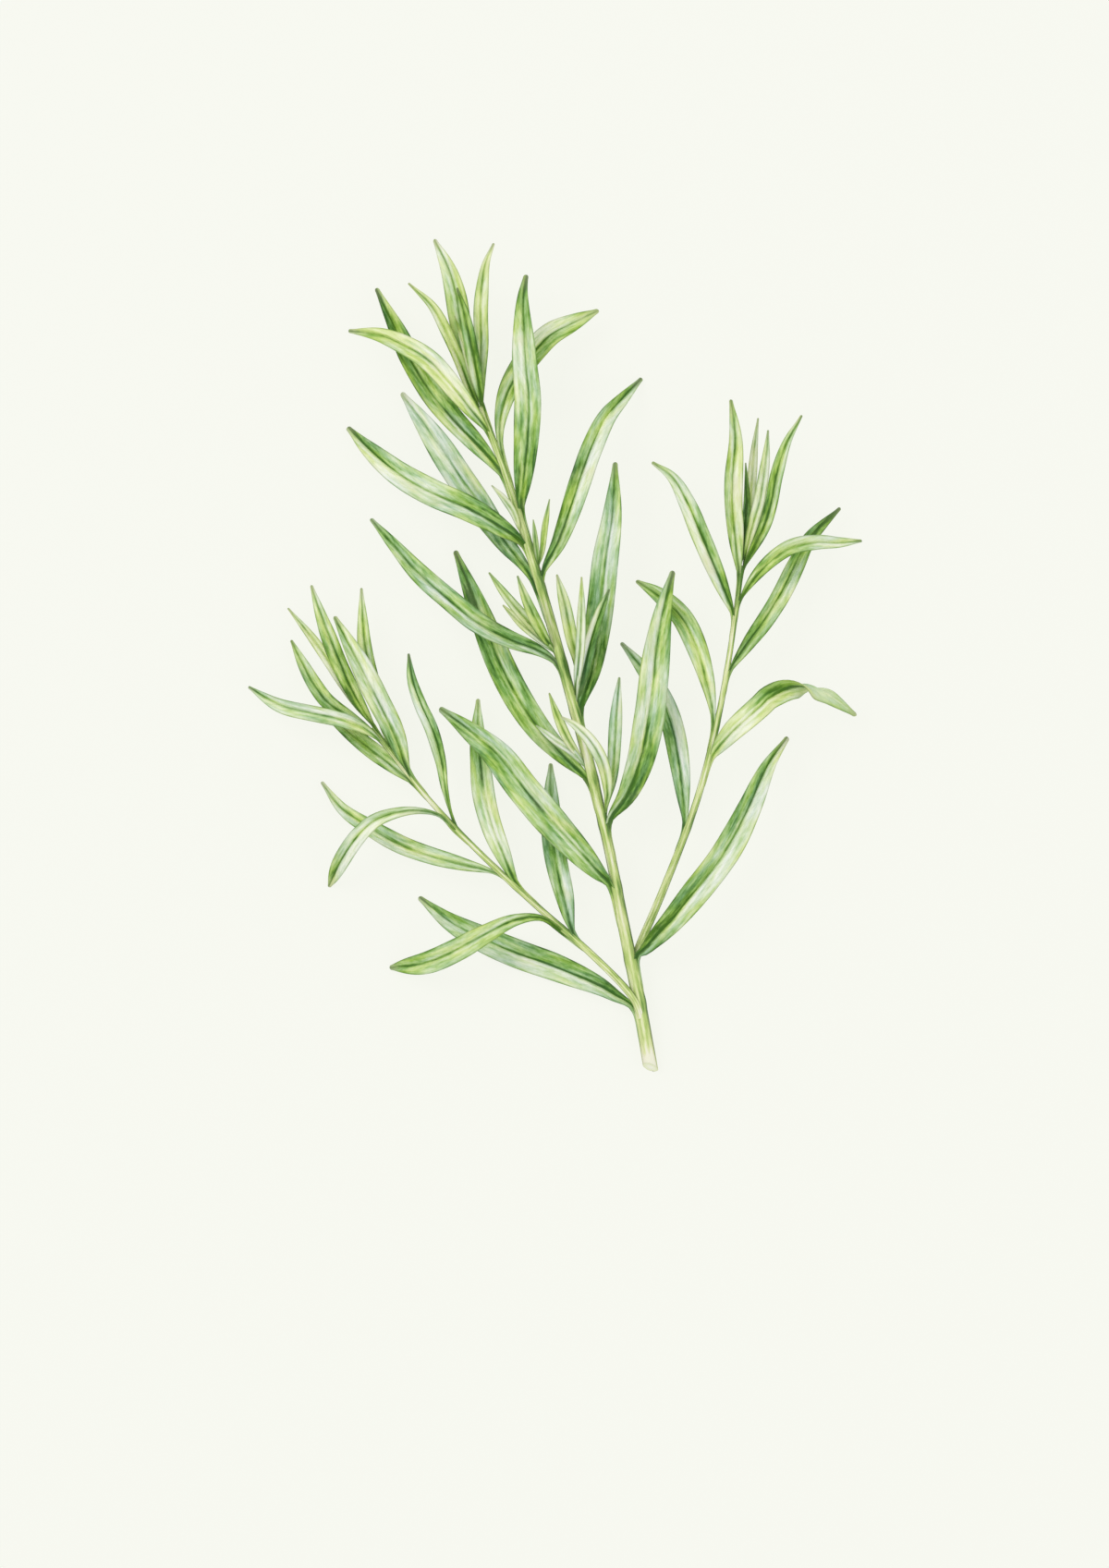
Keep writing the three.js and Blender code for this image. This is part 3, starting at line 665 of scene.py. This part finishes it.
def leaf_finish(name, streaks, blotches, bumps, roughness):
    """Leaf skin, painted by the depth of green: fine streaks along the parallel veins, soft
    blotches, a dark line down the midrib with a pale one beside it, which is a painted
    highlight, dark edges, faint side veins, and painted shade at the root, where the leaf meets
    the stem. Its tail fades into the green of the stem. Three greens, young, grown and
    grey-blue, are mixed by the tint. Straw-coloured patches have faded, the tip is a little dry,
    and the edges and the midrib are drawn in grey-green. The under side is paler and duller,
    with a light rib."""
    finish = bpy.data.materials.new(name)
    finish.use_nodes = True
    add, maths, total, mixed, read = drawer(finish)
    across, along, number = read("where")
    depth, tint, u = read("wash")
    under, share, edge = read("under")

    def noise(x, y, z, layers):
        at = add("ShaderNodeCombineXYZ", {0: maths("MULTIPLY", across, x),
                                          1: maths("MULTIPLY", along, y),
                                          2: maths("MULTIPLY", number, z)}).outputs[0]
        made = add("ShaderNodeTexNoise", {"Vector": at, "Scale": 1.0, "Detail": layers,
                                          "Roughness": FINER})
        return maths("SUBTRACT", made.outputs["Fac"], 0.5)

    def bell(value, half):
        square = maths("POWER", maths("DIVIDE", value, half), 2.0)
        return maths("EXPONENT", maths("MULTIPLY", square, -1.0))

    streak, grain, blotch = noise(*STREAKS), noise(*GRAIN), noise(*BLOTCHES)
    shift = noise(*SHIFTS)
    wash_edge = maths("ADD", maths("MULTIPLY", noise(*WASHES), WASH_RISE), 0.5, clamp=True)
    faded = maths("SUBTRACT", maths("MULTIPLY", noise(*FADES), FADE_RISE), FADE_FROM, clamp=True)
    distance = maths("ABSOLUTE", across)
    midrib = bell(across, MIDRIB_HALF)
    # The pale line beside the midrib is a painted highlight.
    beside = bell(maths("SUBTRACT", distance, BESIDE), BESIDE_HALF)
    rim = maths("MULTIPLY", bell(edge, RIM_HALF),
                total(1.0, (maths("POWER", share, RIM_POWER), -RIM_LOSS)))
    lane = maths("DIVIDE", total(along, (distance, -VEIN_SLANT)), VEIN_APART)
    lane = total(lane, (maths("SIGN", across), VEIN_STAGGER))
    vein = bell(maths("SUBTRACT", maths("FRACT", lane), 0.5), VEIN_HALF)
    vein = maths("MULTIPLY", vein, maths("SUBTRACT", 1.0, maths("POWER", u, VEIN_POWER)))
    # Painted shade at the root, where the leaf meets the stem.
    root = maths("MULTIPLY", bell(along, ROOT_LENGTH), maths("POWER", depth, 2.0))

    deep = total(depth, (streak, streaks), (grain, GRAIN_TONE), (blotch, blotches),
                 (maths("SUBTRACT", wash_edge, 0.5), WASH_TONE),
                 (midrib, maths("ADD", MIDRIB_TONE, shift)),
                 (beside, total(BESIDE_HIGHLIGHT, (share, BESIDE_LOSS))),
                 (rim, total(RIM_TONE, (blotch, RIM_BLOTCH))),
                 (vein, VEIN_TONE), (root, ROOT_SHADE))
    tail = maths("MULTIPLY", along, -TAIL_RISE, clamp=True)
    deep = mixed(tail, deep, TAIL_TONE, "FLOAT")
    pale = total(UNDER_LEAST, (deep, UNDER_TONE), (midrib, UNDER_RIB))
    deep = maths("ADD", mixed(under, deep, pale, "FLOAT"), 0.0, clamp=True)

    young = ramp(add, deep, [
        (0.0, srgb(233, 236, 208)), (0.25, srgb(217, 226, 168)), (0.5, srgb(190, 209, 124)),
        (0.75, srgb(144, 179, 70)), (1.0, srgb(76, 118, 22))])
    grown = ramp(add, deep, [
        (0.0, srgb(229, 233, 218)), (0.25, srgb(206, 219, 186)), (0.5, srgb(170, 198, 136)),
        (0.75, srgb(119, 164, 75)), (1.0, srgb(54, 101, 24))])
    hoary = ramp(add, deep, [
        (0.0, srgb(228, 232, 226)), (0.25, srgb(202, 216, 200)), (0.5, srgb(160, 190, 154)),
        (0.75, srgb(110, 154, 98)), (1.0, srgb(50, 94, 46))])
    straw, dry_brown, grey_green = srgb(212, 212, 172), srgb(156, 156, 128), srgb(96, 118, 68)
    tint = total(tint, (shift, SHIFT_TINT), (under, UNDER_TINT), (tail, TAIL_TINT))
    colour = mixed(maths("MULTIPLY", tint, -1.0, clamp=True), grown, young)
    colour = mixed(maths("ADD", tint, 0.0, clamp=True), colour, hoary)
    faded = maths("MULTIPLY", faded, total(FADE_MOST, (deep, -FADE_LOSS)))
    colour = mixed(faded, colour, straw)
    dry = maths("SUBTRACT", maths("MULTIPLY", share, DRY_PART), DRY_PART - 1, clamp=True)
    colour = mixed(maths("MULTIPLY", dry, DRY_MOST), colour, dry_brown)
    line = maths("ADD", LINE_LEAST, maths("MULTIPLY", shift, LINE_SHIFT), clamp=True)
    line = maths("MULTIPLY", maths("MULTIPLY", midrib, line), maths("SUBTRACT", 1.0, under))
    line = maths("ADD", maths("MULTIPLY", rim, LINE_RIM), line, clamp=True)
    colour = mixed(line, colour, grey_green)
    shader = finish.node_tree.nodes["Principled BSDF"]
    finish.node_tree.links.new(colour, shader.inputs["Base Color"])

    height = total(maths("MULTIPLY", streak, STREAK_BUMP), (vein, VEIN_BUMP))
    bump = add("ShaderNodeBump", {"Height": height, "Strength": bumps,
                                  "Distance": LEAF_BUMP_HEIGHT})
    finish.node_tree.links.new(bump.outputs[0], shader.inputs["Normal"])
    gloss = total(roughness, (streak, STREAK_ROUGHER), (under, UNDER_ROUGHER))
    finish.node_tree.links.new(gloss, shader.inputs["Roughness"])
    shader.inputs["Specular IOR Level"].default_value = LEAF_SHINE
    return finish


grown_leaf = leaf_finish("grown_leaf", streaks=0.82, blotches=0.62, bumps=0.5,
                         roughness=0.58)
leaves("main_leaves", MAIN_LEAVES, 0, MAIN_STEM, grown_leaf, "main_shoot")


# ---- young leaves at the tip of the main stem ----
# Five soft young leaves that still stand close together round the growing tip. They grow
# from the stem as the large ones do, and their rows hold the same things.
# Their depths of green hold painted light and shade, as those of the large leaves do.
TIP_LEAVES = [
    (3.2, 0.47, (16, 17), "63433", "76432", -0.9, [(-19.4, 65), (-22.1, 70.3), (-24.9, 77.7),
     (-28.2, 85.1), (-31.9, 91.6), (-37.9, 97.4)]),
    (5.9, 0.52, (14, 12), "67632", "99632", -0.6, [(-19.2, 65.5), (-22.1, 76.3), (-24, 85.9),
     (-25.5, 94.3), (-27.6, 101.5), (-31.2, 109)]),
    (4, 0.47, (18, 20), "65443", "75422", -0.7, [(-19, 65.5), (-19.3, 73.9), (-19.1, 82.3),
     (-19.1, 91.9), (-18, 101.5), (-15.7, 107.6)]),
    (3.6, 0.47, (20, 24), "73566", "99766", -0.6, [(-19.2, 65.5), (-20.6, 75.1), (-21.9, 82.3),
     (-23.4, 89.5), (-25.2, 95.9)]),
    (1.7, 0.47, (17.5, 20), "32224", "32124", -0.8, [(-19.4, 65.5), (-21.6, 73.9),
     (-23.8, 82.3), (-25.9, 88.8)]),
]
young_leaf = leaf_finish("young_leaf", streaks=0.6, blotches=0.45, bumps=0.35,
                         roughness=0.58)
leaves("tip_leaves", TIP_LEAVES, len(MAIN_LEAVES), MAIN_STEM, young_leaf, "main_shoot")


# ---- tufts in the axils of the main stem ----
# Small tufts of new leaves, thirteen in six tufts, that sprout where the grown leaves leave
# the main stem.
# Rows as for the large leaves; their depths of green hold painted light and shade too.
AXIL_LEAVES = [
    (2, 0.47, (18.5, 20), "32221", "32211", -0.2, [(-8.6, 33.1), (-10.6, 37.7), (-13.2, 41.5),
     (-16.3, 44.9)]),
    (1.7, 0.47, (19, 21), "65542", "54542", -0.7, [(-3.6, 23.8), (-3.1, 28.3), (-2.4, 34.3),
     (-1.3, 41.3)]),
    (1.5, 0.47, (18, 20), "54433", "54333", -0.4, [(-4.1, 24.2), (-4.8, 29.5), (-5.5, 36)]),
    (2.9, 0.47, (19.5, 21), "33334", "44344", -0.6, [(0, 1.7), (-2.4, 5), (-7, 9.8),
     (-12.2, 15.8), (-17, 22.3)]),
    (3.1, 0.47, (22, 24), "67544", "66643", -0.5, [(-0.2, 2.2), (-1.9, 4.6), (-4.6, 9.4),
     (-7, 14.6), (-9.6, 21.4)]),
    (2.6, 0.47, (18.5, 19), "43334", "33323", -0.4, [(0, 1.7), (-4.6, 5.8), (-8.9, 9.4),
     (-13.4, 13.9)]),
    (3.4, 0.62, (18.5, 20), "65432", "76431", -0.7, [(6.8, -10.6), (6.1, -1.7), (4.4, 5.5),
     (2.7, 13.9), (0.6, 21.8)]),
    (2.6, 0.47, (22.5, 25), "63334", "42123", -0.4, [(6.7, -8.9), (6.7, 3.1), (7, 12.7),
     (7, 21.1)]),
    (3.6, 0.47, (19.5, 21), "52125", "99866", 0.2, [(7, -10.6), (8.6, 1.9), (11.3, 10.8),
     (14.2, 18)]),
    (2.6, 0.47, (17, 19), "34453", "44343", -0.8, [(7.4, -27.1), (3.8, -21.4), (1, -15.4),
     (-1.4, -8.9)]),
    (2.2, 0.47, (15.5, 15), "33111", "34211", 0.5, [(7.9, -27.8), (4.3, -24), (0, -21.1),
     (-4.8, -17.3)]),
    (3.4, 0.55, (20, 21), "44311", "33211", -0.4, [(13.7, -40.1), (13.8, -34.1), (12.5, -27.1),
     (9.4, -21.5), (5.6, -17.6), (1.7, -15.1)]),
    (3.6, 0.55, (17, 18), "75443", "75443", 0.3, [(14.4, -40.1), (14.9, -31.7), (15.6, -23.3),
     (16.1, -13.7), (16.8, -4.8)]),
]
leaves("axil_tufts", AXIL_LEAVES, len(MAIN_LEAVES) + len(TIP_LEAVES), MAIN_STEM, young_leaf,
       "main_shoot")


# ---- left side shoot ----
# The lower side shoot, a thinner stem that springs from the main one just above its foot and
# carries thirteen leaves, most of them crowded round its tip.
LEFT_STEM = [
    (20, -87.6, 5.8, 0.96), (9.4, -76.6, 6.3, 0.9), (-3.8, -65, 6.8, 0.84),
    (-17, -52.8, 7.7, 0.78), (-29, -40.6, 8.1, 0.72), (-37.7, -30.5, 8.5, 0.66),
    (-47.3, -17.8, 9, 0.58),
]
LEFT_FOOT = (23.2, -95.6, 3.2, 1.0)
LEFT_NODES = [(2.9, -69.8), (5, -71.3), (-9.6, -59), (-14.4, -55), (-25.2, -43.2),
              (-36.7, -31.9), (-42, -23.3)]
# Rows as for the main stem's leaves; their depths of green hold painted light and shade too.
LEFT_LEAVES = [
    (6.2, 0.65, (13, 0.3), "96447", "95457", -0.3, [(2.9, -69.8), (-3.6, -67.3), (-10.8, -68),
     (-18, -71.5), (-25.2, -75.5), (-33.6, -79.1), (-43, -80.4)]),
    (6, 0.47, (7.5, 2.5), "75753", "72863", 0.5, [(5.3, -71.5), (2.4, -61.2), (0.5, -53.3),
     (-0.7, -44.9), (-1, -35.3), (-1, -27.1)]),
    (6.1, 0.47, (8, 4), "73373", "62352", -0.2, [(-9.6, -59), (-13.2, -50.9), (-16.1, -43.7),
     (-18.2, -35.3), (-19.2, -26.9), (-19.9, -18.5), (-19.9, -10.3)]),
    (5, 0.48, (6, 2), "53352", "53462", -0.2, [(-14.4, -55), (-24, -53.4), (-32.4, -51.2),
     (-40.8, -48), (-48.5, -43.7), (-55.4, -38.9), (-60.7, -31.9)]),
    (4.6, 0.68, (17, 0.3), "54114", "55357", -0.2, [(-25.2, -43.2), (-30, -40.6),
     (-37.2, -39.4), (-45.4, -41.4), (-50.6, -45.6), (-55.2, -52.1), (-58.8, -59.4)]),
    (3.6, 0.6, (12, 13), "64326", "66668", 0.1, [(-25.9, -42.7), (-28.4, -34.1), (-29.6, -26.2),
     (-31.8, -18.5), (-34.8, -11.8), (-37, -5.3), (-37.9, 1.4)]),
    (4.8, 0.47, (6, 0.3), "65575", "65665", -0.4, [(-36.7, -31.9), (-42.7, -27.4), (-48.6, -23),
     (-54.1, -18.4), (-60, -13.9)]),
    (4.4, 0.47, (12, 4), "54434", "53235", 0.0, [(-45.1, -20.9), (-49.9, -17.8), (-55.7, -15.6),
     (-63.6, -13.9), (-72, -11.8), (-79.7, -7.2)]),
    (4.1, 0.47, (7.5, 3), "57655", "57544", -0.5, [(-46.8, -19.2), (-52.6, -15.6),
     (-58.6, -11.5), (-62.2, -7), (-65.5, -1.2), (-68.6, 5)]),
    (2.9, 0.47, (9, 6), "43232", "44442", -0.8, [(-47.8, -17), (-51.2, -12), (-55.3, -6),
     (-59.3, 0.2), (-64, 6.7), (-69.4, 13.3)]),
    (4.5, 0.47, (11, 9.5), "68543", "66742", -0.55, [(-47.3, -17.3), (-51.4, -10.1),
     (-55, -2.9), (-58, 4.3), (-60.7, 11.5), (-63.2, 19.2)]),
    (6.2, 0.47, (15, 15.5), "75336", "64224", -0.2, [(-37.9, -30), (-41.4, -19.9),
     (-45.6, -11.3), (-49.7, -3.1), (-53.4, 4.1), (-57.1, 11)]),
    (4, 0.47, (10, 8), "77543", "77543", -0.8, [(-42, -23.3), (-45.4, -12.5), (-48, -2.9),
     (-49.4, 4.3), (-49.9, 11.5), (-50.2, 18.5)]),
]
side_green = stem_finish("side_stem_skin", middle=0.40, patches=2.0,
                         darkest=srgb(80, 126, 46))
shell, around, facts = stalk([LEFT_FOOT, *LEFT_STEM], LEFT_NODES)
sprig_piece("left_stem", [shell], side_green, {"around": [around], "stalk": [facts]},
            "left_side_shoot")
leaves("left_leaves", LEFT_LEAVES, 0, LEFT_STEM, grown_leaf, "left_side_shoot")


# ---- right side shoot ----
# The upper side shoot, which leans away to the right of the main stem, with single leaves up
# its length and a tuft at its tip.
RIGHT_STEM = [
    (21.6, -76.1, 4.1, 1.1), (28.6, -59.3, 7, 1), (35.9, -40.1, 10, 0.92),
    (40.8, -22.8, 12.3, 0.84), (44.2, -6.5, 13.1, 0.76), (47, 11.5, 13.3, 0.68),
    (48.7, 24.2, 13, 0.58),
]
RIGHT_FOOT = (20.6, -81.5, 4.2, 1.1)
RIGHT_NODES = [(33.6, -43.7), (41.5, -17.8), (40.8, -25.7), (45.1, -3.6), (46.8, 11),
               (48, 15.1), (48.2, 21.8)]
# Rows as for the main stem's leaves; their depths of green hold painted light and shade too.
RIGHT_LEAVES = [
    (5.8, 0.5, (9, 6), "76765", "63244", 0.6, [(33.6, -43.7), (33.4, -35.3), (32.4, -26.4),
     (30.5, -16.8), (26.9, -8.2), (22.3, -1.6), (17.3, 4.3)]),
    (5.8, 0.58, (13, 10), "54475", "43564", -0.45, [(41.5, -17.8), (40.6, -10.6), (38.9, -3.4),
     (36.5, 3.8), (32.9, 10.8), (27.6, 16.2), (21.2, 20.3)]),
    (6.6, 0.42, (17, 6), "53847", "41436", -0.55, [(40.8, -25.7), (45.8, -19.4), (49.2, -16.2),
     (54.1, -11.9), (55.8, -10.3), (61.4, -7.6), (65.5, -7.3), (70.4, -9.2), (73.7, -11.3),
     (78.4, -14.6)], 0.65),
    (5.1, 0.47, (11, 5), "96598", "65278", -0.3, [(45.4, -3.4), (49.7, 3.2), (54.4, 9.8),
     (58.8, 16.7), (62.6, 24.4), (66.6, 31.7), (74.4, 39.4)]),
    (5, 0.47, (15, 11), "52124", "87644", -0.2, [(46.8, 11), (43.7, 18.2), (40.8, 25.2),
     (37.7, 32.6), (34.5, 40.3), (30.7, 47), (25.3, 51.1)]),
    (4.2, 0.52, (17, 10), "66334", "87434", -0.25, [(48, 15.1), (51.8, 20.9), (56.4, 25.7),
     (61.7, 29), (68.2, 30.2), (73.9, 30.2), (79.9, 30.7)]),
    (5, 0.47, (20, 23), "65454", "63135", -0.65, [(48.2, 21.8), (47, 30.7), (46.3, 39.1),
     (46.3, 47.5), (46.8, 57.1), (45.6, 67)]),
    (3.6, 0.47, (19, 18.5), "98764", "96435", -0.45, [(49.7, 23.5), (53.9, 32.9), (56.2, 40.1),
     (57.7, 47.8), (60.1, 55.7), (64.1, 63.1)]),
    (1.9, 0.47, (14.6, 14.5), "99986", "99875", 0.0, [(49, 22.8), (49.4, 33.1), (49.9, 42.7),
     (49.6, 50.9)]),
    (2.6, 0.47, (12.6, 11.5), "65322", "65322", -0.5, [(49.3, 24.2), (50.3, 34.3), (51.2, 46.3),
     (51.9, 54.7), (52.9, 62.6)]),
    (3.1, 0.47, (16.8, 16.5), "64222", "43222", -0.4, [(49.4, 24.2), (51.1, 33.1), (53.3, 41.5),
     (54.7, 51.1), (55.4, 59.3)]),
]
shell, around, facts = stalk([RIGHT_FOOT, *RIGHT_STEM], RIGHT_NODES)
sprig_piece("right_stem", [shell], side_green, {"around": [around], "stalk": [facts]},
            "right_side_shoot")
leaves("right_leaves", RIGHT_LEAVES, 0, RIGHT_STEM, grown_leaf, "right_side_shoot")
